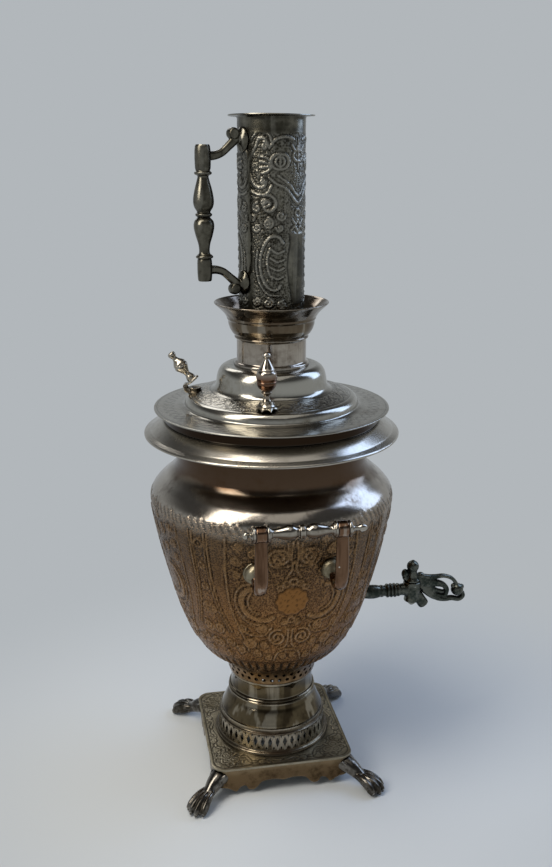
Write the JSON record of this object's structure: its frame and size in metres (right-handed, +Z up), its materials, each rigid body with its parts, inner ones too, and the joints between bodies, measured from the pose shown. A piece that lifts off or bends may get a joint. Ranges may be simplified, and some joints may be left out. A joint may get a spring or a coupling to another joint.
{
  "type": "samovar",
  "caption": "Charcoal samovar: urn with fire tube, chimney, teapot crown, lid with vent, side carrying handles, plug tap and pierced pedestal on paw feet.",
  "frame": {"origin": "on the floor under the middle of the whole object's box", "axes": "+Z up along the urn's axis, +X towards the tap, +Y along the line through the two carrying handles"},
  "size_m": [0.3465, 0.3164, 0.6776],
  "materials": {
    "polished_plate": "pale silvery plating on brass, polished, with fine scratches",
    "chased_plate": "pale silvery plating chased with scrolls on a dark stippled ground",
    "aged_copper": "worn copper-brown metal with dark patina",
    "smoked_pipe": "tarnished grey metal with soot in its chased lines",
    "darkened_bronze": "blackened green-brown cast bronze, worn bright on its ridges",
    "sooty_iron": "matt iron with soot"
  },
  "bodies": {
    "urn": {"base_plate": "chased_plate", "base_apron": "aged_copper", "paw_foot_front_right": "darkened_bronze", "paw_foot_back_right": "darkened_bronze", "paw_foot_back_left": "darkened_bronze", "paw_foot_front_left": "darkened_bronze", "foot_ring": "chased_plate", "pedestal_bell": "polished_plate", "pedestal_bead": "polished_plate", "neck_band": "polished_plate", "neck_gallery": "chased_plate", "body_shell": "chased_plate", "brim": "polished_plate", "fire_tube": "sooty_iron", "fire_grate": "sooty_iron", "handle_bracket_front_left": "aged_copper", "handle_bracket_front_right": "aged_copper", "handle_bracket_back_left": "aged_copper", "handle_bracket_back_right": "aged_copper", "bracket_nut_front_left": "aged_copper", "bracket_nut_front_right": "aged_copper", "bracket_nut_back_left": "aged_copper", "bracket_nut_back_right": "aged_copper", "handle_finial_front_left": "polished_plate", "handle_finial_front_right": "polished_plate", "handle_finial_back_left": "polished_plate", "handle_finial_back_right": "polished_plate", "handle_bar_front": "polished_plate", "handle_bar_back": "polished_plate", "tap_flange": "darkened_bronze", "tap_lock_nut": "aged_copper", "tap_body": "darkened_bronze"},
    "lid_group": {"lid": "polished_plate", "lid_knob_front": "polished_plate", "lid_knob_back": "polished_plate", "knob_rosette_front": "chased_plate", "knob_rosette_back": "chased_plate", "knob_nut_front": "aged_copper", "knob_nut_back": "aged_copper", "vent_seat": "chased_plate", "vent_hinge_pin": "aged_copper"},
    "vent_flap": {"vent_cap": "chased_plate"},
    "crown": {"teapot_crown": "polished_plate"},
    "chimney": {"chimney_pipe": "smoked_pipe", "chimney_grip": "smoked_pipe", "chimney_arm_upper": "smoked_pipe", "chimney_arm_lower": "smoked_pipe"},
    "key": {"tap_key": "darkened_bronze", "tap_key_nut": "darkened_bronze"}
  },
  "joints": [
    {"name": "lid_lift", "type": "slide", "parent": "urn", "child": "lid_group", "axis": [0, 0, 1], "range_m": [0, 0.12]},
    {"name": "vent_cap_hinge", "type": "hinge", "parent": "lid_group", "child": "vent_flap", "pos_m": [-0.12934, 0.01941, 0.41941], "axis": [-0.225, -0.9744, 0], "range_deg": [-39, 15]},
    {"name": "crown_lift", "type": "slide", "parent": "lid_group", "child": "crown", "axis": [0, 0, 1], "range_m": [0, 0.06]},
    {"name": "chimney_lift", "type": "slide", "parent": "crown", "child": "chimney", "axis": [0, 0, 1], "range_m": [0, 0.08]},
    {"name": "tap_key_turn", "type": "hinge", "parent": "urn", "child": "key", "pos_m": [0.11175, 0, 0.184], "axis": [0, 0, 1], "range_deg": [-90, 90]}
  ]
}
